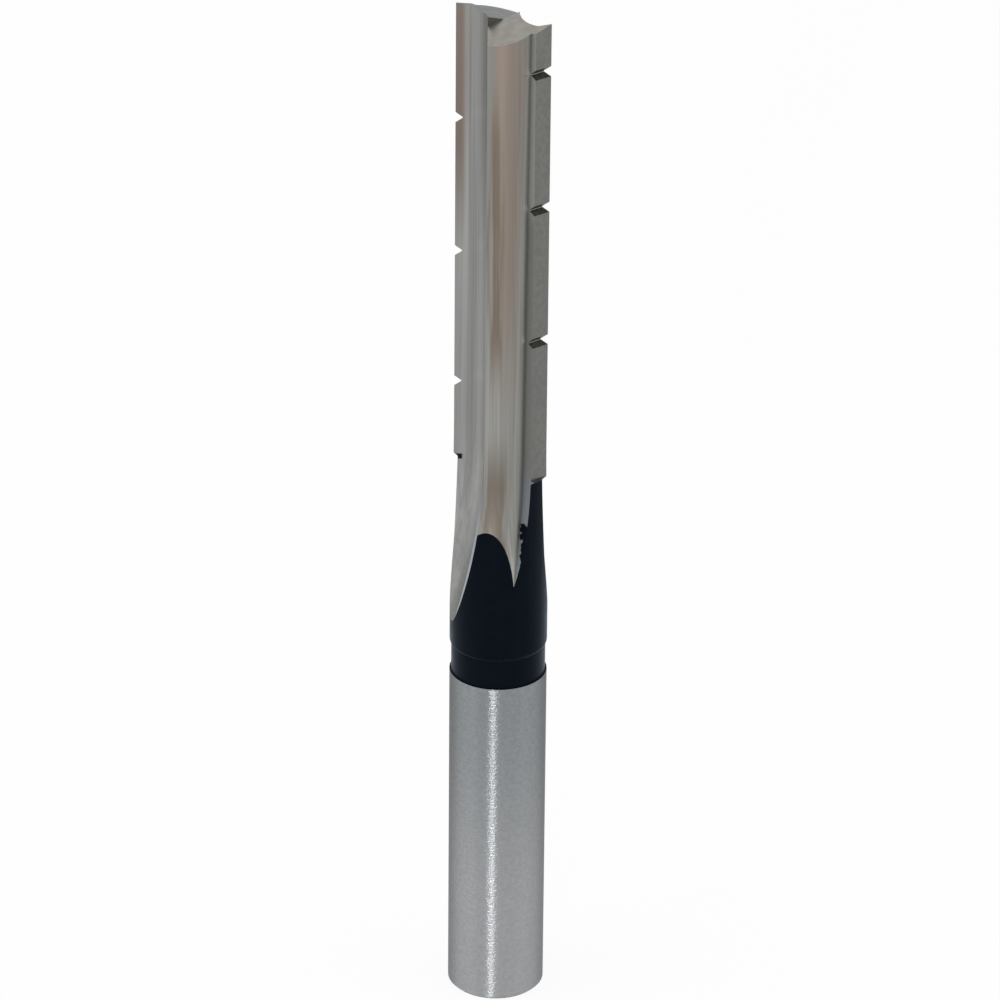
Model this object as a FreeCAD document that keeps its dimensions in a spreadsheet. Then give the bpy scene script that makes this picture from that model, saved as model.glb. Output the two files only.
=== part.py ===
import FreeCAD, Part
import math
import os
import Sketcher

# Slot mortising bit with two straight flutes, ground from one bar of high speed steel.
# All sizes are millimetres and degrees. The origin is the middle of the shank's end, and +Z
# runs along the axis to the cutting end. The first tooth has its cutting edge on the +X side
# and its back towards -Y. The second is the same form turned half a turn about the axis.

SIZES = [
    ("shank_diameter", 13.0, "round shank, held in a collet"),
    ("shank_length", 48.1, "bright ground length of the shank"),
    ("shank_end_chamfer", 0.4, "chamfer round the shank's end"),
    ("ring_length", 4.6, "black ring turned down above the shank, with its rounded step"),
    ("ring_depth", 0.22, "how far the black ring lies below the shank"),
    ("ring_step_radius", 0.6, "rounding of the step from the ring to the neck"),
    ("neck_length", 25.1, "black neck of shank diameter, from the ring to the shoulder"),
    ("shoulder_angle", 45.0, "cone from the neck out to the cutting part, from the axis"),
    ("cutting_diameter", 14.0, "circle that the two cutting edges run on"),
    ("cutting_length", 63.5, "from the shoulder to the corners of the end"),
    ("web_thickness", 4.0, "core left between the two gullets"),
    ("edge_azimuth", 30.0, "angle of each cutting edge behind the X axis"),
    ("rake_angle", 25.0, "hook of the rake face, from the radius at the cutting edge"),
    ("rake_root_radius", 5.52, "distance of the rake face's root from the axis"),
    ("gullet_radius", 5.4, "hollow between the core and the rake face"),
    ("gullet_stop", 5.2, "where the gullet's full depth ends, above the shoulder"),
    ("gullet_wheel_radius", 84.6, "grinding wheel whose run-out ends the gullet"),
    ("gullet_wheel_lean", 26.6, "direction in which that wheel comes in, from the -X axis"),
    ("land_width", 2.52, "flat ground behind the cutting edge"),
    ("land_relief", 21.0, "angle of that flat below the cutting circle"),
    ("strip_width", 1.23, "step from the flat down to the tooth's back, at the back's stop"),
    ("strip_turn", 69.0, "angle that the step turns away from the flat"),
    ("back_clearance", 1.22, "how far the back's far end lies below the cutting circle there"),
    ("back_radius", 4.25, "curve of the tooth's back"),
    ("back_taper", 0.5, "angle at which the back rises out of the bar towards the tip"),
    ("back_stop", 1.4, "where the back's full depth ends, above the shoulder"),
    ("back_wheel_radius", 67.1, "grinding wheel whose run-out ends the back"),
    ("back_wheel_lean", 27.7, "direction in which that wheel comes in, from the -Y axis"),
    ("notch_depth", 0.65, "chip breaker, from the flat to its root"),
    ("notch_angle", 90.0, "angle between the notch's flanks"),
    ("notch_root_radius", 0.12, "rounding of the notch's root"),
    ("notch_pitch", 18.65, "distance between the notches of one edge"),
    ("notch_count", 3, "notches on each edge"),
    ("notch_lead", 6.4, "from the end's corner to the first notch"),
    ("end_rise", 15.9, "slope of an end face along the line that parts the two"),
    ("end_tilt", 2.9, "slope of an end face across that line"),
    ("end_split_azimuth", 26.6, "direction of the line that parts the two end faces"),
    ("overrun", 2.0, "how far a grinding profile reaches outside the blank"),
]

NODE = "mortising_bit"

doc = FreeCAD.newDocument("slot_mortising_bit")
sheet = doc.addObject("Spreadsheet::Sheet", "sizes")
for row, (alias, value, meaning) in enumerate(SIZES, start=1):
    sheet.set(f"A{row}", meaning)
    sheet.set(f"B{row}", str(value))
    sheet.setAlias(f"B{row}", alias)
doc.recompute()

body = doc.addObject("PartDesign::Body", NODE)
body.Label = NODE
datum = {part.Role: part for part in body.Origin.OriginFeatures}

# Formulas of the sheet's cells that more than one sketch uses. Each sketch's dimensions are
# bound to such formulas, and its first drawing takes its numbers from the same ones.

SHANK_R = "sizes.shank_diameter / 2"
CUTTING_R = "sizes.cutting_diameter / 2"
OUTSIDE = f"({CUTTING_R} + sizes.overrun)"
RING_TOP = "(sizes.shank_length + sizes.ring_length)"
NECK_TOP = f"({RING_TOP} + sizes.neck_length)"
SHOULDER = f"({NECK_TOP} + ({CUTTING_R} - {SHANK_R}) / tan(sizes.shoulder_angle))"
TIP = f"({SHOULDER} + sizes.cutting_length)"
HALF_WEB = "sizes.web_thickness / 2"
EDGE_X = f"({CUTTING_R} * cos(sizes.edge_azimuth))"
RAKE_Y = f"({CUTTING_R} * sin(sizes.edge_azimuth))"
LAND_TURN = "(sizes.edge_azimuth + sizes.land_relief)"

# The part of a grinding wheel's turn that is cut, which is more than it needs to leave the bar
RUN_OUT_SWEEP = 40


def number(formula):
    """What a formula of the sheet's cells comes to."""
    return float(sheet.evalExpression(formula))


class Outline:
    """A closed sketch whose corners are placed by formulas of the sheet's cells."""

    def __init__(self, name, plane, corners, base="vector(0; 0; 0)", turn="rotationz(0)"):
        self.sketch = body.newObject("Sketcher::SketchObject", name)
        self.sketch.AttachmentSupport = [(datum[plane], "")]
        self.sketch.MapMode = "FlatFace"
        self.sketch.setExpression("AttachmentOffset", f"placement({base}; {turn})")
        edges = [self.draw(here, after) for here, after in zip(corners, corners[1:] + corners[:1])]
        for index, corner in enumerate(corners):
            edge, start, end = edges[index]
            before, before_start, before_end = edges[index - 1]
            self.rule("Coincident", before, before_end, edge, start)
            straight = index > 0 and len(corners[index - 1]) == 3
            self.place(corner, corners[index - 1], edge, start, before, straight)

    def draw(self, here, after):
        """Draw the edge from one corner to the next, straight or as a short arc."""
        ends = [FreeCAD.Vector(number(x), number(y), 0) for x, y in (here[1:3], after[1:3])]
        if len(here) == 3:
            return self.sketch.addGeometry(Part.LineSegment(*ends), False), 1, 2
        radius_formula, centre_side = here[3:]
        radius = number(radius_formula)
        chord = ends[1] - ends[0]
        rise = math.sqrt(radius**2 - (chord.Length / 2) ** 2)
        across = FreeCAD.Vector(-chord.y, chord.x, 0).normalize()
        centre = ends[0] + chord / 2 + across * (rise if centre_side == "left" else -rise)
        angles = [math.atan2(end.y - centre.y, end.x - centre.x) for end in ends]
        start, end = (1, 2) if centre_side == "left" else (2, 1)
        circle = Part.Circle(centre, FreeCAD.Vector(0, 0, 1), radius)
        arc = Part.ArcOfCircle(circle, angles[start - 1], angles[end - 1])
        edge = self.sketch.addGeometry(arc, False)
        self.bind(self.rule("Radius", edge, radius), f"{here[0]}_radius", radius_formula)
        return edge, start, end

    def place(self, corner, last, edge, start, before, straight):
        """Hold a corner level with the last one, or at a bound distance from the origin."""
        for axis, level, at, was in (("X", "Vertical", 1, 1), ("Y", "Horizontal", 2, 2)):
            if straight and corner[at] == last[was]:
                self.rule(level, before)
            elif corner[at] == "0":
                self.rule("PointOnObject", edge, start, -2 if axis == "X" else -1)
            else:
                index = self.rule("Distance" + axis, -1, 1, edge, start, number(corner[at]))
                self.bind(index, f"{corner[0]}_{axis.lower()}", corner[at])

    def axis_line(self, start, end):
        """Add a construction line, which a groove turns about. Its ends are formulas."""
        ends = [FreeCAD.Vector(number(x), number(y), 0) for x, y in (start, end)]
        line = self.sketch.addGeometry(Part.LineSegment(*ends), True)
        for point, name, where in ((1, "axis_start", start), (2, "axis_end", end)):
            for axis, formula in zip("XY", where):
                index = self.rule("Distance" + axis, -1, 1, line, point, number(formula))
                self.bind(index, f"{name}_{axis.lower()}", formula)

    def rule(self, kind, *what):
        return self.sketch.addConstraint(Sketcher.Constraint(kind, *what))

    def bind(self, index, name, formula):
        self.sketch.renameConstraint(index, name)
        self.sketch.setExpression(f"Constraints.{name}", formula)


def feature(kind, name, bound=(), **settings):
    """Add a feature to the body and make it the tip. A cut that takes nothing off stops here."""
    doc.recompute()
    before = body.Shape.Volume if body.Tip else 0.0
    made = body.newObject(kind, name)
    for key, value in settings.items():
        setattr(made, key, value)
    for key, formula in bound:
        made.setExpression(key, formula)
    body.Tip = made
    doc.recompute()
    change = body.Shape.Volume - before
    if before and change >= 0:
        raise RuntimeError(f"{name} takes nothing off")
    print(f"{name}: {change:+.1f} cubic mm")
    return made


# The bar as it is turned: shank, black ring, neck, shoulder, cutting part

STEP_R = "sizes.ring_step_radius"
RING_R = f"({SHANK_R} - sizes.ring_depth)"
STEP_DROP = f"sqrt({STEP_R}^2 - ({STEP_R} - sizes.ring_depth)^2)"


def turned_blank():
    end_inner = f"{SHANK_R} - sizes.shank_end_chamfer"
    profile = Outline("blank_profile", "XZ_Plane", [
        ("centre", "0", "0"),
        ("end_inner", end_inner, "0"),
        ("end_outer", SHANK_R, "sizes.shank_end_chamfer"),
        ("shank_top", SHANK_R, "sizes.shank_length"),
        ("ring_bottom", RING_R, "sizes.shank_length"),
        ("ring_top", RING_R, f"{RING_TOP} - {STEP_DROP}", STEP_R, "left"),
        ("neck_bottom", SHANK_R, RING_TOP),
        ("neck_top", SHANK_R, NECK_TOP),
        ("shoulder", CUTTING_R, SHOULDER),
        ("tip_outer", CUTTING_R, TIP),
        ("tip_centre", "0", TIP),
    ])
    feature(
        "PartDesign::Revolution",
        "turned_blank",
        Profile=profile.sketch,
        ReferenceAxis=(profile.sketch, ["V_Axis"]),
        Angle=360,
    )


# Each gullet is ground by a wheel that leans in towards the core. Its profile has the flat rake
# face and the hollow floor, and its run-out ends low in the neck.

RAKE_TILT = "(sizes.edge_azimuth - sizes.rake_angle)"
RAKE_OFFSET = f"({CUTTING_R} * sin(sizes.rake_angle))"
RAKE_ALONG = f"sqrt(sizes.rake_root_radius^2 - {RAKE_OFFSET}^2)"
CORNER_X = f"({RAKE_OFFSET} * sin({RAKE_TILT}) - {RAKE_ALONG} * cos({RAKE_TILT}))"
CORNER_Y = f"({RAKE_OFFSET} * cos({RAKE_TILT}) + {RAKE_ALONG} * sin({RAKE_TILT}))"
RAKE_OUTER_Y = f"({CORNER_Y} + ({OUTSIDE} + {CORNER_X}) * tan({RAKE_TILT}))"


def gullet():
    floor_rise = f"sqrt(sizes.gullet_radius^2 - (sizes.gullet_radius + {HALF_WEB} + {CORNER_X})^2)"
    core_inner_y = f"{CORNER_Y} - {floor_rise}"
    profile = Outline(
        "gullet_profile",
        "XY_Plane",
        [
            ("core_outer", f"-{HALF_WEB}", f"-{OUTSIDE}"),
            ("core_inner", f"-{HALF_WEB}", core_inner_y, "sizes.gullet_radius", "left"),
            ("corner", CORNER_X, CORNER_Y),
            ("rake_outer", f"-{OUTSIDE}", RAKE_OUTER_Y),
            ("far", f"-{OUTSIDE}", f"-{OUTSIDE}"),
        ],
        base=f"vector(0; 0; {SHOULDER} + sizes.gullet_stop)",
    )
    lean = "sizes.gullet_wheel_lean"
    wheel_x = f"{CORNER_X} - sizes.gullet_wheel_radius * cos({lean})"
    wheel_y = f"{CORNER_Y} - sizes.gullet_wheel_radius * sin({lean})"
    profile.axis_line(
        (f"{wheel_x} + {OUTSIDE} * sin({lean})", f"{wheel_y} - {OUTSIDE} * cos({lean})"),
        (f"{wheel_x} - {OUTSIDE} * sin({lean})", f"{wheel_y} + {OUTSIDE} * cos({lean})"),
    )
    return wheel_pass("gullet", profile.sketch, False)


# The land is the flat behind the cutting edge. It runs straight up from the shoulder.

LAND_CHORD = f"(2 * {CUTTING_R} * sin(sizes.land_relief))"


def land():
    land_out_x = f"{EDGE_X} - {LAND_CHORD} * sin({LAND_TURN})"
    land_out_y = f"-{RAKE_Y} - {LAND_CHORD} * cos({LAND_TURN})"
    profile = Outline(
        "land_profile",
        "XY_Plane",
        [
            ("edge", EDGE_X, f"-{RAKE_Y}"),
            ("land_out", land_out_x, land_out_y),
            ("far_left", land_out_x, f"-{OUTSIDE}"),
            ("far_right", OUTSIDE, f"-{OUTSIDE}"),
            ("edge_outer", OUTSIDE, f"-{RAKE_Y}"),
        ],
        base=f"vector(0; 0; {SHOULDER})",
    )
    return [upward_cut("land", profile.sketch)]


# The strip is the step behind the land, and the back is the curve from its foot to the gullet's
# edge. One wheel grinds both on a path that tapers along the strip, so that the strip gets
# narrower towards the tip while the land keeps its width.

STRIP_DOWN = f"({LAND_TURN} + sizes.strip_turn)"
LAND_X = f"({EDGE_X} - sizes.land_width * sin({LAND_TURN}))"
LAND_Y = f"(-{RAKE_Y} - sizes.land_width * cos({LAND_TURN}))"
FOOT_X = f"({LAND_X} - sizes.strip_width * sin({STRIP_DOWN}))"
FOOT_Y = f"({LAND_Y} - sizes.strip_width * cos({STRIP_DOWN}))"
BACK_END_X = f"(-{HALF_WEB} - sizes.overrun / 2)"
BACK_END_Y = f"(-sqrt(({CUTTING_R} - sizes.back_clearance)^2 - {BACK_END_X}^2))"


def tooth_back():
    strip_outer_x = f"{FOOT_X} - ({OUTSIDE} + {FOOT_Y}) * tan({STRIP_DOWN})"
    profile = Outline(
        "back_profile",
        "XY_Plane",
        [
            ("strip_foot", FOOT_X, FOOT_Y, "sizes.back_radius", "right"),
            ("back_end", BACK_END_X, BACK_END_Y),
            ("back_outer", f"-{OUTSIDE}", BACK_END_Y),
            ("far_left", f"-{OUTSIDE}", f"-{OUTSIDE}"),
            ("strip_outer", strip_outer_x, f"-{OUTSIDE}"),
        ],
        base=f"vector(0; 0; {SHOULDER} + sizes.back_stop)",
        turn=(
            f"rotationz(180 - {STRIP_DOWN}) * rotationx(sizes.back_taper)"
            f" * rotationz({STRIP_DOWN} - 180)"
        ),
    )
    lean = "sizes.back_wheel_lean"
    wheel_x = f"{FOOT_X} - sizes.back_wheel_radius * sin({lean})"
    wheel_y = f"{FOOT_Y} - sizes.back_wheel_radius * cos({lean})"
    profile.axis_line(
        (f"{wheel_x} - {OUTSIDE} * cos({lean})", f"{wheel_y} + {OUTSIDE} * sin({lean})"),
        (f"{wheel_x} + {OUTSIDE} * cos({lean})", f"{wheel_y} - {OUTSIDE} * sin({lean})"),
    )
    return wheel_pass("back", profile.sketch, True)


def upward_cut(name, sketch):
    """Cut a profile from its sketch straight up past the tip."""
    return feature("PartDesign::Pocket", name, Profile=sketch, Type="ThroughAll", Reversed=True)


def wheel_pass(name, sketch, downward):
    """Cut a profile straight up to the tip, and along the wheel's rim below it."""
    straight = upward_cut(f"{name}_straight", sketch)
    run_out = feature(
        "PartDesign::Groove",
        f"{name}_run_out",
        Profile=sketch,
        ReferenceAxis=(sketch, ["Axis0"]),
        Angle=RUN_OUT_SWEEP,
        Reversed=downward,
    )
    return [straight, run_out]


def opposite(name, originals):
    """Repeat features on the second tooth, half a turn round."""
    return feature(
        "PartDesign::PolarPattern",
        name,
        Originals=originals,
        Axis=(datum["Z_Axis"], [""]),
        Angle=360,
        Occurrences=2,
    )


# Chip breakers: V notches with a rounded root, ground straight across each land. The second
# edge has them half a pitch lower, so that each edge cuts what the other leaves.

def notches(name, turn, drop):
    land_height = f"({CUTTING_R} * cos(sizes.land_relief))"
    half = "(sizes.notch_angle / 2)"
    root = "sizes.notch_root_radius"
    root_centre = f"({land_height} - sizes.notch_depth + {root})"
    flank_foot = f"({root_centre} - {root} * sin({half}))"
    half_mouth = f"({root} * cos({half}) + ({OUTSIDE} - {flank_foot}) * tan({half}))"
    profile = Outline(
        f"{name}_profile",
        "XZ_Plane",
        [
            ("mouth_top", OUTSIDE, half_mouth),
            ("flank_top", flank_foot, f"{root} * cos({half})", root, "left"),
            ("flank_bottom", flank_foot, f"-{root} * cos({half})"),
            ("mouth_bottom", OUTSIDE, f"-{half_mouth}"),
        ],
        base=f"vector(0; {TIP} - sizes.notch_lead - {drop}; 0)",
        turn=f"rotationy({turn} - {LAND_TURN})",
    )
    first = feature(
        "PartDesign::Pocket",
        f"{name}_first",
        Profile=profile.sketch,
        Type="ThroughAll",
        SideType="Symmetric",
    )
    feature(
        "PartDesign::LinearPattern",
        name,
        Originals=[first],
        Direction=(datum["Z_Axis"], [""]),
        Reversed=True,
        Mode="Spacing",
        bound=(("Offset", "sizes.notch_pitch"), ("Occurrences", "sizes.notch_count")),
    )


# End faces: each is one flat, highest at its tooth's corner and falling past the middle. They
# meet in a step along the line that parts them.

def end_faces():
    parting = "(sizes.edge_azimuth + sizes.end_split_azimuth)"
    corner_x = f"({CUTTING_R} * cos({parting}))"
    corner_y = f"({CUTTING_R} * sin({parting}) * sin(sizes.end_tilt))"
    profile = Outline(
        "end_profile",
        "XZ_Plane",
        [
            ("low", f"-{OUTSIDE}", f"{corner_y} - ({OUTSIDE} + {corner_x}) * tan(sizes.end_rise)"),
            ("high", OUTSIDE, f"{corner_y} + ({OUTSIDE} - {corner_x}) * tan(sizes.end_rise)"),
            ("above_high", OUTSIDE, OUTSIDE),
            ("above_low", f"-{OUTSIDE}", OUTSIDE),
        ],
        base=f"vector(0; {TIP}; 0)",
        turn="rotationy(sizes.end_split_azimuth) * rotationx(sizes.end_tilt)",
    )
    opposite("end_faces", [upward_cut("end_face", profile.sketch)])


turned_blank()
opposite("two_flutes", gullet() + land() + tooth_back())
notches("first_edge_notches", "0", "0")
notches("second_edge_notches", "180", "sizes.notch_pitch / 2")
end_faces()

doc.recompute()
for thing in doc.Objects:
    if "Invalid" in thing.State or "Error" in thing.State:
        raise RuntimeError(f"{thing.Name} failed: {thing.State}")
shape = body.Shape
if shape.isNull() or not shape.isValid() or len(shape.Solids) != 1:
    raise RuntimeError("the bit is not one valid solid")
print(f"solid {shape.Volume:.0f} cubic mm, {len(shape.Faces)} faces")

os.makedirs("parts", exist_ok=True)
shape.exportStep(f"parts/{body.Label}.step")
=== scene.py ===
# %% [markdown]
# # A slot mortising bit
#
# The bit is one bar of high speed steel, 142 mm long. A round shank sits in the chuck of a slot
# mortiser, and two straight flutes carry the cutting edges. The CAD model already has the
# shape, so this lesson gives it its finishes: bright ground steel where a wheel has cut it, and
# black oxide where the turned neck was left as it came out of the salt bath.

# %% Load the CAD model
import math

import bmesh
import bpy
from mathutils import Matrix, Vector


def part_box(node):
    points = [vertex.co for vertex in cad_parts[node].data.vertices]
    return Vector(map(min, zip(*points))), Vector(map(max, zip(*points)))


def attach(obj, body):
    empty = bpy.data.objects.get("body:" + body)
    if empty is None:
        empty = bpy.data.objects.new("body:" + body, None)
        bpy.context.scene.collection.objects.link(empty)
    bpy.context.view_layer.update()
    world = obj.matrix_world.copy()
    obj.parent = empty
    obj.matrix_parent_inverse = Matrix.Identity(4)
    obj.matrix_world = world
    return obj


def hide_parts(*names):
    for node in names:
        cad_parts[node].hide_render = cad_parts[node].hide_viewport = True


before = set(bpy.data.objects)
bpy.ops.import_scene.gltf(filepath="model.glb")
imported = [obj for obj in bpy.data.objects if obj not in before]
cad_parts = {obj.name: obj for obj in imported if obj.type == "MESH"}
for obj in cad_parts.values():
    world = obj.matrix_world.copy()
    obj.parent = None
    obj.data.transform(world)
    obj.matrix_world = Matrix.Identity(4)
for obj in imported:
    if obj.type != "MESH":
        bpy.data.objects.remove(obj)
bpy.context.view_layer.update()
BIT_NODE = "mortising_bit"
MM = 0.001
low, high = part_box(BIT_NODE)
print("the bit is", round((high.z - low.z) / MM, 1), "mm long")

# %% [markdown]
# The heights where the bar changes. The bright shank ends where the black ring starts. The
# black neck is as thick as the shank, and it ends at the shoulder, where the bar widens a
# little to the circle that the cutting edges run on.

# %% Heights and radii of the bar
SHANK_R = 6.5 * MM
RING_R = 6.28 * MM
SHANK_TOP = 48.1 * MM
RING_TOP = 52.7 * MM
NECK_TOP = 77.8 * MM
SHOULDER = 78.3 * MM
TIP = high.z

# %% [markdown]
# Blender works with linear colour, and a colour picker shows sRGB. One function turns the hex
# values of this file into linear ones, so that each can be compared with the photograph.


# %% Colours and shader nodes
def linear(hex_colour):
    values = [int(hex_colour[i : i + 2], 16) / 255 for i in (1, 3, 5)]
    return [v / 12.92 if v <= 0.04045 else ((v + 0.055) / 1.055) ** 2.4 for v in values] + [1.0]


def fill(owner, socket, source):
    """Give a socket a link to a node or to one of its outputs, or a plain value."""
    if isinstance(source, bpy.types.Node):
        source = next(output for output in source.outputs if output.enabled)
    if isinstance(source, bpy.types.NodeSocket):
        owner.node_tree.links.new(source, socket)
    else:
        socket.default_value = linear(source) if isinstance(source, str) else source


def add_node(owner, kind, *sources, **settings):
    """Add a shader node with its settings, and fill its inputs in their order."""
    node = owner.node_tree.nodes.new("ShaderNode" + kind)
    for key, value in settings.items():
        setattr(node, key, value)
    in_use = [socket for socket in node.inputs if socket.enabled]
    for socket, source in zip(in_use, sources):
        fill(owner, socket, source)
    return node


def new_material(name):
    material = bpy.data.materials.new(name)
    material.use_nodes = True
    return material, material.node_tree.nodes["Principled BSDF"]


# %% [markdown]
# ## Camera
#
# The photograph looks down on the standing bit from a little above, with a long lens. Its
# place was worked out from the bit's outline: where the shank's ends curve, how its sides draw
# together, and where each edge of the flutes falls.

# %% Camera at the photograph's angle
CAMERA_PITCH = math.radians(26.655)
CAMERA_ROLL = math.radians(0.507)
CAMERA_PLACE = Vector((0.07, -671.4, 410.05)) * MM
SENSOR = 36.0
PHOTO_SIZE = 1000
FOCAL_PIXELS = 5706.7

camera_data = bpy.data.cameras.new("photo_camera")
camera_data.sensor_width = SENSOR
camera_data.lens = FOCAL_PIXELS * SENSOR / PHOTO_SIZE
camera_data.clip_start = 0.01
camera = bpy.data.objects.new("photo_camera", camera_data)
tilt = Matrix.Rotation(math.radians(90) - CAMERA_PITCH, 4, "X")
roll = Matrix.Rotation(CAMERA_ROLL, 4, "Z")
camera.matrix_world = Matrix.Translation(CAMERA_PLACE) @ tilt @ roll
bpy.context.scene.collection.objects.link(camera)
bpy.context.scene.camera = camera
print("lens", round(camera_data.lens, 1), "mm")

# %% [markdown]
# ## The bit, patch by patch
#
# The finish changes exactly where a grinding wheel has left the bar, along edges that are too
# fine to find by colour or height. The CAD mesh comes as loose patches, one for each face of
# the solid, so each patch can be asked a simple question: do all its corners lie on the bar as
# it was turned? If they do, no wheel has touched it.

# %% The bar as it was turned
ON_THE_BAR = 0.012 * MM


def on_black_bar(point):
    """True if a point lies on the turned surface between the shank and the shoulder."""
    radius = math.hypot(point.x, point.y)
    if not SHANK_TOP - ON_THE_BAR < point.z < SHOULDER + ON_THE_BAR:
        return False
    if point.z < RING_TOP:
        return radius > RING_R - ON_THE_BAR
    return radius > SHANK_R + max(point.z - NECK_TOP, 0) - ON_THE_BAR


# %% [markdown]
# The patches are sorted into finishes. The shank is ground while it turns, the flutes along the
# bar, and the end faces across it. In a flute, a patch is told by how its face looks round the
# bar: a gullet looks along the bit's turn, a tooth's back looks outwards, and the narrow faces
# that are left between the passes look against the turn. Those are a gullet's rim low in the
# neck, which reaches in to the web, and a strip beside the land. The notches have a roof and a
# floor that slope, with a rounded root between them.

# %% Sort the patches
FINISHES = [
    "shank",
    "gullet",
    "back",
    "rim",
    "strip",
    "land",
    "end",
    "notch_roof",
    "notch_floor",
    "oxide",
]
EDGE_AZIMUTH = 30
LAND_RELIEF = 21
land_angle = math.radians(EDGE_AZIMUTH + LAND_RELIEF)
LAND_NORMAL = Vector((math.cos(land_angle), -math.sin(land_angle), 0))
NOTCH_HEIGHT = 2.0 * MM
RIM_TOP = 84.0 * MM
NEAR_WEB = 3.5 * MM
SLOPING = 0.3


def patches(mesh):
    """The connected groups of faces in a bmesh."""
    left = set(mesh.faces)
    while left:
        patch = []
        queue = [left.pop()]
        while queue:
            face = queue.pop()
            patch.append(face)
            for edge in face.edges:
                for other in edge.link_faces:
                    if other in left:
                        left.discard(other)
                        queue.append(other)
        yield patch


def finish_of(patch):
    corners = {vert for face in patch for vert in face.verts}
    bottom = min(v.co.z for v in corners)
    top = max(v.co.z for v in corners)
    facing = sum((face.normal * face.calc_area() for face in patch), Vector()).normalized()
    area = sum(face.calc_area() for face in patch)
    middle = sum((face.calc_center_median() * face.calc_area() for face in patch), Vector()) / area
    turning = Vector((-middle.y, middle.x, 0)).normalized()
    if top < SHANK_TOP + ON_THE_BAR and facing.z < 0.5:
        return "shank"
    if all(on_black_bar(v.co) for v in corners):
        return "oxide"
    if facing.z > SLOPING and top > TIP - NOTCH_HEIGHT:
        return "end"
    if bottom > SHOULDER and top - bottom < NOTCH_HEIGHT:
        if abs(facing.z) < SLOPING:
            return "land"
        return "notch_floor" if facing.z > 0 else "notch_roof"
    if abs(facing.dot(LAND_NORMAL)) > 0.999 or facing.z > 0.9:
        return "land"
    if facing.dot(turning) > 0.5:
        return "gullet"
    if facing.dot(turning) < -0.5:
        innermost = min(math.hypot(v.co.x, v.co.y) for v in corners)
        if innermost > NEAR_WEB:
            return "strip"
        if top < RIM_TOP:
            return "rim"
    return "back"


dressed = bmesh.new()
dressed.from_mesh(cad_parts[BIT_NODE].data)
areas = dict.fromkeys(FINISHES, 0.0)
for patch in patches(dressed):
    finish = finish_of(patch)
    for face in patch:
        face.material_index = FINISHES.index(finish)
        areas[finish] += face.calc_area() / MM**2
print({name: round(area) for name, area in areas.items()}, "square mm")

# %% [markdown]
# The patches are then joined along their edges. Where two of them meet at more than a few
# degrees the edge is marked sharp, so light breaks there as it does on ground steel.

# %% Join the patches into one skin
SHARP_ANGLE = math.radians(12)

bmesh.ops.remove_doubles(dressed, verts=dressed.verts, dist=0.0001 * MM)
for face in dressed.faces:
    face.smooth = True
for edge in dressed.edges:
    same_finish = len({face.material_index for face in edge.link_faces}) == 1
    edge.smooth = edge.calc_face_angle(0) < SHARP_ANGLE and same_finish
skin_mesh = bpy.data.meshes.new("dressed_bit")
dressed.to_mesh(skin_mesh)
dressed.free()
skin = bpy.data.objects.new("dressed_bit", skin_mesh)
bpy.context.scene.collection.objects.link(skin)
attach(skin, "root")
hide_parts(BIT_NODE)
print(len(skin_mesh.polygons), "faces in the skin")

# %% [markdown]
# ## Ground steel
#
# High speed steel is a metal, so its colour is the colour of what it reflects, dimmed to a
# medium grey by its fine scratches. All the patterns are set out in the object's own
# coordinates, in millimetres. One function makes a noise that can be stretched: across the bar
# for rings, or along it for the lines that a wheel leaves in a flute.


# %% Patterns in millimetres
SMOOTH = {"interpolation_type": "SMOOTHSTEP"}
PLUS = {"operation": "ADD"}
TIMES = {"operation": "MULTIPLY"}
COLOURS = {"data_type": "RGBA"}

# Noise seldom leaves the middle of its range, so a pattern uses only that part
NOISE_LOW = 0.35
NOISE_HIGH = 0.65


def place_in(material):
    """The x, y and z of a point of the bit."""
    place = add_node(material, "TexCoord").outputs["Object"]
    return add_node(material, "SeparateXYZ", place).outputs


def grain(material, across, along, detail=3.0):
    """Noise whose spots are so many millimetres across the bar, and so many along it."""
    place = add_node(material, "TexCoord").outputs["Object"]
    scale = (1 / (across * MM), 1 / (across * MM), 1 / (along * MM))
    stretched = add_node(material, "Mapping", place, (0, 0, 0), (0, 0, 0), scale)
    return add_node(material, "TexNoise", stretched, 1.0, detail)


def soft_spots(material, across, along, detail):
    """The same noise, stretched to reach from 0 to 1."""
    noise = grain(material, across, along, detail)
    return add_node(material, "MapRange", noise, NOISE_LOW, NOISE_HIGH, **SMOOTH)


def band(material, value, middle, core, edge):
    """1 as far as core mm from the middle, falling to 0 at edge mm from it."""
    shifted = add_node(material, "Math", value, middle * MM, operation="SUBTRACT")
    away = add_node(material, "Math", shifted, operation="ABSOLUTE")
    return add_node(material, "MapRange", away, core * MM, edge * MM, 1.0, 0.0, **SMOOTH)


def scratched(material, steel, height, depth):
    """Raise the surface where the height is high, by so many millimetres."""
    bump = add_node(material, "Bump")
    fill(material, bump.inputs["Distance"], depth * MM)
    fill(material, bump.inputs["Height"], height)
    fill(material, steel.inputs["Normal"], bump)


def brushed(material, steel, amount, turn):
    """Stretch the highlights. A turn of 0.25 stretches them along the bar, and 0 across it."""
    tangent = add_node(material, "Tangent", direction_type="RADIAL", axis="Z")
    fill(material, steel.inputs["Tangent"], tangent)
    steel.inputs["Anisotropic"].default_value = amount
    steel.inputs["Anisotropic Rotation"].default_value = turn


# %% [markdown]
# Every steel here is a plain metal. Ground steel doesn't turn white at its outline, as a
# polished bar would, so its tint at a low angle is a grey.

# %% Plain steel
EDGE_TINT = "#B4B4B4"
SOFT_GRIND = 0.4


def new_steel(name, roughness=SOFT_GRIND):
    material, steel = new_material(name)
    steel.inputs["Metallic"].default_value = 1.0
    steel.inputs["Roughness"].default_value = roughness
    steel.inputs["Specular Tint"].default_value = linear(EDGE_TINT)
    return material, steel


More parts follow.
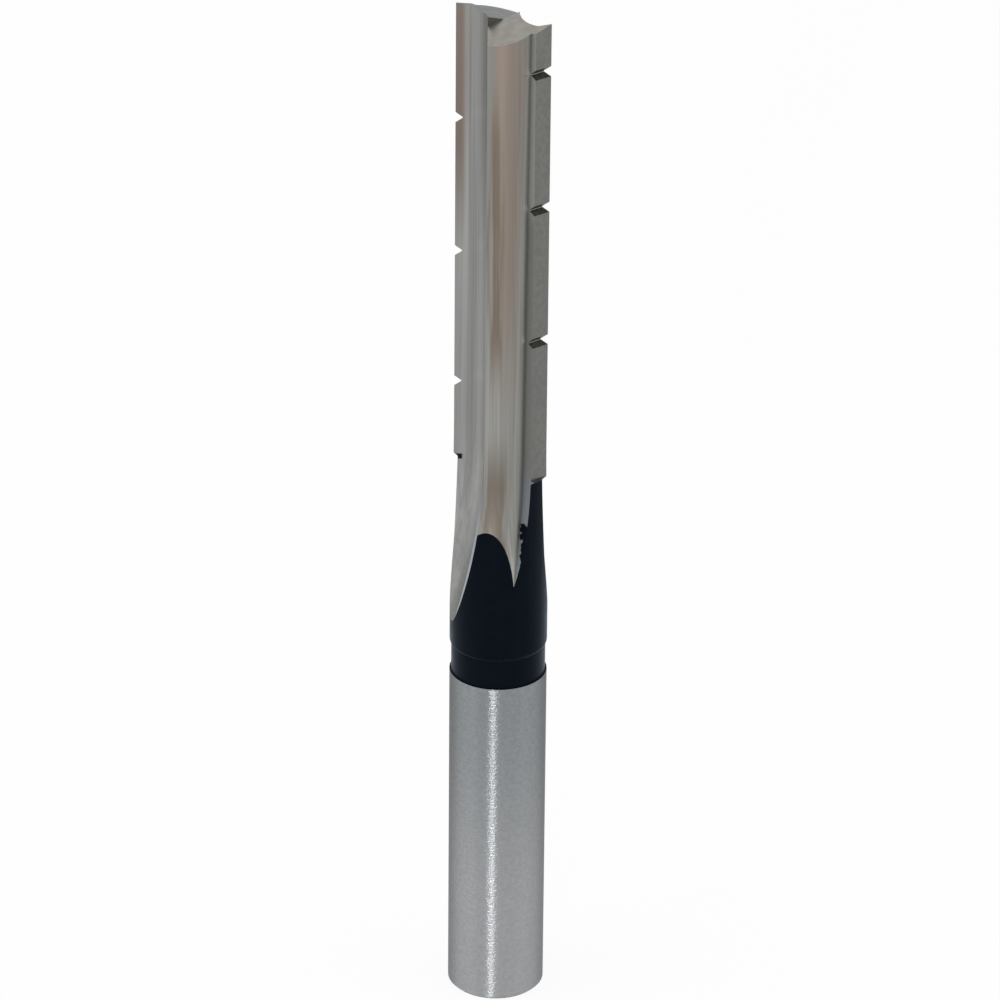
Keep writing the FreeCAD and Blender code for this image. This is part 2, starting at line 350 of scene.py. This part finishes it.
# %% [markdown]
# The shank is ground while it turns, so its scratches run round it. They are about 0.1 mm
# apart. That is too fine for the camera, so they are drawn 0.25 mm apart, where they break the
# lamp's reflection into a thin, jagged bright line. They also stretch that reflection along the
# shank, which the anisotropic setting does. Towards the ring the shank mirrors less of the pale
# floor, and that is painted shade: its colour is set a shade darker there.


# %% Ground shank
RING_SPACING = 0.25
RING_DEPTH = 0.04
FINE_GRIND = 0.3


def ground_shank():
    material, steel = new_steel("ground_shank", FINE_GRIND)
    z = place_in(material)["Z"]
    long_scratches = grain(material, 6.0, RING_SPACING)
    short_scratches = grain(material, 0.5, RING_SPACING)
    rings = add_node(material, "Math", long_scratches, short_scratches, **PLUS)
    mottle = add_node(material, "MapRange", grain(material, 0.5, 0.5, 5.0), 0.3, 0.7, **SMOOTH)
    lower = add_node(material, "Mix", mottle, "#96989A", "#9EA0A2", **COLOURS)
    # Painted shade: the base colour is set darker towards the ring, where the shank mirrors less
    # of the pale floor
    upper = add_node(material, "Mix", mottle, "#838688", "#8B8E90", **COLOURS)
    rising = add_node(material, "MapRange", z, 12 * MM, 46 * MM, **SMOOTH)
    colour = add_node(material, "Mix", rising, lower, upper, **COLOURS)
    fill(material, steel.inputs["Base Color"], colour)
    scratched(material, steel, rings, RING_DEPTH)
    brushed(material, steel, 0.95, 0.25)
    return material


# %% [markdown]
# The flutes are ground along the bar, and the wheel's lines run up them. They are about 0.05 mm
# apart, and are drawn 0.22 mm apart so that they show. Deep in a gullet the steel faces only
# more steel and lies in shade, so its grey is painted lighter there: painted light that undoes
# that shade. The wheel ran hot beside each cutting edge near the tip, and that tinted the steel
# brown. At the shoulder a small near-black speck is painted on the edge.

# %% Ground gullets
NEAR_BLACK = "#0C1218"
LINE_SPACING = 0.22
LINE_LENGTH = 30.0
LINE_DEPTH = 0.007


def ground_lengthwise(material, steel, colour):
    """Lay the wheel's fine lines over a colour, and stretch the highlights across them."""
    lines = grain(material, LINE_SPACING, LINE_LENGTH)
    in_line = add_node(material, "MapRange", lines, 0.45, 0.7, 0.0, 0.3, **SMOOTH)
    lined = add_node(material, "Mix", in_line, colour, "#6A6864", **COLOURS)
    roughness = add_node(material, "MapRange", lines, 0.3, 0.7, 0.36, 0.46, **SMOOTH)
    fill(material, steel.inputs["Base Color"], lined)
    fill(material, steel.inputs["Roughness"], roughness)
    scratched(material, steel, lines, LINE_DEPTH)
    brushed(material, steel, 0.5, 0.0)


def from_axis(material, x, y):
    """The distance of a point from the bit's axis."""
    x_squared = add_node(material, "Math", x, x, **TIMES)
    y_squared = add_node(material, "Math", y, y, **TIMES)
    both = add_node(material, "Math", x_squared, y_squared, **PLUS)
    return add_node(material, "Math", both, 0.5, operation="POWER")


def ground_gullet():
    material, steel = new_steel("ground_gullet")
    x, y, z = place_in(material)
    radius = from_axis(material, x, y)
    bands = soft_spots(material, 1.5, 50.0, 2.0)
    plain = add_node(material, "Mix", bands, "#8A8B8A", "#969694", **COLOURS)
    # Painted light: deep in the hollow, and less towards the tip, the grey is painted lighter to
    # undo the shade the gullet casts on itself
    deep = add_node(material, "MapRange", radius, 2.2 * MM, 4.8 * MM, 1.0, 0.0, **SMOOTH)
    low_down = add_node(material, "MapRange", z, 98 * MM, 135 * MM, 1.0, 0.3, **SMOOTH)
    painted_light_mask = add_node(material, "Math", deep, low_down, **TIMES)
    painted_light_grey = add_node(material, "Mix", painted_light_mask, plain, "#BCBCBB", **COLOURS)
    near_edge = add_node(material, "MapRange", radius, 5.4 * MM, 6.4 * MM, **SMOOTH)
    near_tip = add_node(material, "MapRange", z, 104 * MM, 124 * MM, 0.0, 0.9, **SMOOTH)
    hot = add_node(material, "Math", near_edge, near_tip, **TIMES)
    tinted = add_node(material, "Mix", hot, painted_light_grey, "#6E625A", **COLOURS)
    # A small near-black speck is painted on the edge at the shoulder
    at_shoulder = band(material, z, 77.8, 0.25, 0.5)
    outermost = add_node(material, "MapRange", radius, 5.8 * MM, 6.1 * MM, **SMOOTH)
    speck = add_node(material, "Math", at_shoulder, outermost, **TIMES)
    marked = add_node(material, "Mix", speck, tinted, NEAR_BLACK, **COLOURS)
    ground_lengthwise(material, steel, marked)
    return material


# %% [markdown]
# A tooth's back shows the heat best. A wide brown band fades out half way down, with a darker
# stripe along its left side, and one more brown spot lies just above the black oxide. The bands
# keep to one side of the tooth, and the other tooth has them half a turn round.


# %% Ground tooth backs
def ground_back():
    material, steel = new_steel("ground_back")
    x, y, z = place_in(material)
    tooth = add_node(material, "Math", y, operation="SIGN")
    side = add_node(material, "Math", tooth, x, **TIMES)
    streaks = grain(material, 0.6, 20.0)
    waver = add_node(material, "MapRange", streaks, 0.2, 0.8, -0.7 * MM, 0.7 * MM, **SMOOTH)
    across = add_node(material, "Math", side, waver, **PLUS)
    bands = soft_spots(material, 1.5, 50.0, 2.0)
    low_grey = add_node(material, "Mix", bands, "#8C8C88", "#989894", **COLOURS)
    high_grey = add_node(material, "Mix", bands, "#848480", "#90908C", **COLOURS)
    rising = add_node(material, "MapRange", z, 90 * MM, 130 * MM, **SMOOTH)
    grey = add_node(material, "Mix", rising, low_grey, high_grey, **COLOURS)
    # Painted highlight: near its point, where the run-out turns up to the light, the back is
    # painted a much lighter grey
    past_point = add_node(material, "MapRange", z, 64 * MM, 70 * MM, **SMOOTH)
    painted_point_highlight = add_node(material, "Mix", past_point, "#B8B6B0", grey, **COLOURS)
    fading = add_node(material, "MapRange", z, 82 * MM, 110 * MM, 0.0, 0.85, **SMOOTH)
    wide_band = band(material, across, -0.4, 0.9, 2.6)
    wide = add_node(material, "Math", wide_band, fading, **TIMES)
    browned = add_node(material, "Mix", wide, painted_point_highlight, "#877A70", **COLOURS)
    narrow_band = band(material, across, 0.7, 0.2, 1.1)
    stripe = add_node(material, "Math", narrow_band, band(material, z, 113, 12, 23), **TIMES)
    low_band = band(material, across, 0.6, 0.6, 2.2)
    spot = add_node(material, "Math", low_band, band(material, z, 73, 4, 14), **TIMES)
    either = add_node(material, "Math", stripe, spot, operation="MAXIMUM")
    darker = add_node(material, "Math", either, 0.8, **TIMES)
    stained = add_node(material, "Mix", darker, browned, "#6B6054", **COLOURS)
    ground_lengthwise(material, steel, stained)
    return material


# %% [markdown]
# The strip beside the land is darker in its lower two thirds. Low in the neck the wheel only
# just touched it, and a patch of black oxide is left there with a ragged border.


# %% Ground strips
def ground_strip():
    material, steel = new_steel("ground_strip")
    place = place_in(material)
    x = place["X"]
    z = place["Z"]
    upper = add_node(material, "MapRange", z, 114 * MM, 118 * MM, **SMOOTH)
    tall = add_node(material, "Mix", upper, "#72736F", "#888884", **COLOURS)
    above_neck = add_node(material, "MapRange", z, 76 * MM, 82 * MM, **SMOOTH)
    steel_tone = add_node(material, "Mix", above_neck, "#74797E", tall, **COLOURS)
    blotches = grain(material, 1.0, 1.0, 1.5)
    ragged = add_node(material, "MapRange", blotches, 0.3, 0.7, -0.4 * MM, 0.4 * MM, **SMOOTH)
    sideways = add_node(material, "Math", x, operation="ABSOLUTE")
    out = add_node(material, "Math", sideways, ragged, **PLUS)
    outside = add_node(material, "MapRange", out, 2.6 * MM, 2.8 * MM, **SMOOTH)
    height = add_node(material, "Math", z, ragged, **PLUS)
    patch = add_node(material, "Math", outside, band(material, height, 68.6, 3.4, 3.7), **TIMES)
    colour = add_node(material, "Mix", patch, steel_tone, NEAR_BLACK, **COLOURS)
    fill(material, steel.inputs["Base Color"], colour)
    return material


# %% [markdown]
# A gullet's rim is painted bright and bluish downwards, where it thins out against the black
# oxide: a painted highlight along that edge. The lands and the notches are plain flats, ground
# with a fine wheel; the lands' darker grey and the notch floors' near-black are painted shade.


# %% Ground rims and flats
def ground_rim():
    material, steel = new_steel("ground_rim")
    z = place_in(material)["Z"]
    # Painted highlight: the rim's colour turns a bright bluish white downwards, along the
    # run-out's edge
    rising = add_node(material, "MapRange", z, 66 * MM, 83 * MM, **SMOOTH)
    colour = add_node(material, "Mix", rising, "#D2DAE4", "#8C8C88", **COLOURS)
    fill(material, steel.inputs["Base Color"], colour)
    return material


def ground_flat(name, dark, light, size):
    """A flat ground with a fine wheel: even grey, with a soft grain."""
    material, steel = new_steel(name)
    tone = soft_spots(material, size, size, 4.0)
    colour = add_node(material, "Mix", tone, dark, light, **COLOURS)
    fill(material, steel.inputs["Base Color"], colour)
    return material


# %% [markdown]
# The two end faces come from separate passes. In the photograph the near one is warm and the
# far one cool, so their colour changes across the line that parts them.


# %% End faces
def end_face():
    material, steel = new_steel("ground_end")
    y = place_in(material)["Y"]
    far = add_node(material, "MapRange", y, -0.4 * MM, 0.8 * MM, **SMOOTH)
    cloud = soft_spots(material, 1.2, 1.2, 4.0)
    near_tone = add_node(material, "Mix", cloud, "#99968F", "#A3A099", **COLOURS)
    far_tone = add_node(material, "Mix", cloud, "#9A9B9C", "#A4A5A5", **COLOURS)
    colour = add_node(material, "Mix", far, near_tone, far_tone, **COLOURS)
    fill(material, steel.inputs["Base Color"], colour)
    return material


# %% [markdown]
# Black oxide is grown on the steel in a hot salt bath. It is a thin blue-black skin with a
# velvety grain. Looked at squarely it swallows the light, so it isn't metallic and its specular
# level is low. Towards its outline the fine crystals catch the light, which is what the shader's
# sheen is for, and theirs is a steely blue.


# %% Black oxide
def black_oxide():
    material, oxide = new_material("black_oxide")
    mottle = grain(material, 1.5, 1.5, 5.0)
    colour = add_node(material, "Mix", mottle, "#02060D", "#070D16", **COLOURS)
    roughness = add_node(material, "MapRange", mottle, 0.3, 0.7, 0.30, 0.38, **SMOOTH)
    fill(material, oxide.inputs["Base Color"], colour)
    fill(material, oxide.inputs["Roughness"], roughness)
    oxide.inputs["Specular IOR Level"].default_value = 0.03
    oxide.inputs["Sheen Weight"].default_value = 0.2
    oxide.inputs["Sheen Roughness"].default_value = 0.35
    oxide.inputs["Sheen Tint"].default_value = linear("#6FA4CC")
    return material


# %% Give each finish its material
materials = {
    "shank": ground_shank(),
    "gullet": ground_gullet(),
    "back": ground_back(),
    "rim": ground_rim(),
    "strip": ground_strip(),
    # Painted shade: the lands' grey is set darker than the flutes', for the way they face the
    # light
    "land": ground_flat("ground_land", "#70706E", "#777774", 0.6),
    "end": end_face(),
    "notch_roof": ground_flat("ground_notch_roof", "#8C8982", "#989690", 0.4),
    # Painted shade: the notch floors are set near-black for the shade inside the notches
    "notch_floor": ground_flat("ground_notch_floor", "#2E2C28", "#3A3833", 0.4),
    "oxide": black_oxide(),
}
for name in FINISHES:
    skin_mesh.materials.append(materials[name])

# %% [markdown]
# ## Floor, backdrop and light
#
# The photograph is a cut-out on white. The floor is a pale paint, and to the camera and in the
# steel's reflections most of it is plain white, so that it keeps only a soft shadow. The world
# does the same. What lights the bit is a dimmer world and three lamps.


# %% Floor and world
EITHER = {"operation": "MAXIMUM"}
FLOOR_WHITENESS = 0.9


def seen_directly(owner):
    """1 for a ray from the camera or from a reflection, and 0 for the light's own rays."""
    rays = add_node(owner, "LightPath").outputs
    return add_node(owner, "Math", rays["Is Camera Ray"], rays["Is Glossy Ray"], **EITHER)


def pale_floor():
    material, paint = new_material("pale_floor")
    paint.inputs["Base Color"].default_value = linear("#FAFAFA")
    paint.inputs["Roughness"].default_value = 0.9
    share = add_node(material, "Math", seen_directly(material), FLOOR_WHITENESS, **TIMES)
    white = add_node(material, "Emission")
    blend = add_node(material, "MixShader", share, paint, white)
    fill(material, material.node_tree.nodes["Material Output"].inputs["Surface"], blend)
    return material


FLOOR_SIZE = 6.0
floor_shape = bmesh.new()
bmesh.ops.create_grid(floor_shape, x_segments=1, y_segments=1, size=FLOOR_SIZE / 2)
floor_mesh = bpy.data.meshes.new("floor")
floor_shape.to_mesh(floor_mesh)
floor_shape.free()
floor_mesh.materials.append(pale_floor())
floor = bpy.data.objects.new("floor", floor_mesh)
bpy.context.scene.collection.objects.link(floor)

WORLD_LIGHT = 0.8
world = bpy.data.worlds.new("studio")
world.use_nodes = True
sky = world.node_tree.nodes["Background"]
sky.inputs["Color"].default_value = linear("#FFFFFF")
brightness = add_node(world, "MapRange", seen_directly(world), 0.0, 1.0, WORLD_LIGHT, 1.0)
fill(world, sky.inputs["Strength"], brightness)
bpy.context.scene.world = world
bpy.context.scene.view_settings.view_transform = "Standard"

# %% [markdown]
# The left softbox is a little stronger than the right one. The tall strip stands beside the
# camera and draws the bright line up the shank.


# %% Lamps
def lamp(name, place, width, height, power):
    """A rectangular lamp that faces the middle of the bit."""
    data = bpy.data.lights.new(name, "AREA")
    data.shape = "RECTANGLE"
    data.size = width
    data.size_y = height
    data.energy = power
    obj = bpy.data.objects.new(name, data)
    direction = Vector((0, 0, TIP / 2)) - Vector(place)
    turn = direction.to_track_quat("-Z", "Y").to_matrix().to_4x4()
    obj.matrix_world = Matrix.Translation(Vector(place)) @ turn
    bpy.context.scene.collection.objects.link(obj)


lamp("left_softbox", (-0.8, -0.2, 0.45), 1.0, 1.0, 2.6)
lamp("right_softbox", (0.8, -0.2, 0.45), 1.0, 1.0, 1.2)
lamp("front_strip", (-0.16, -0.9, 0.1), 0.02, 0.2, 2.4)
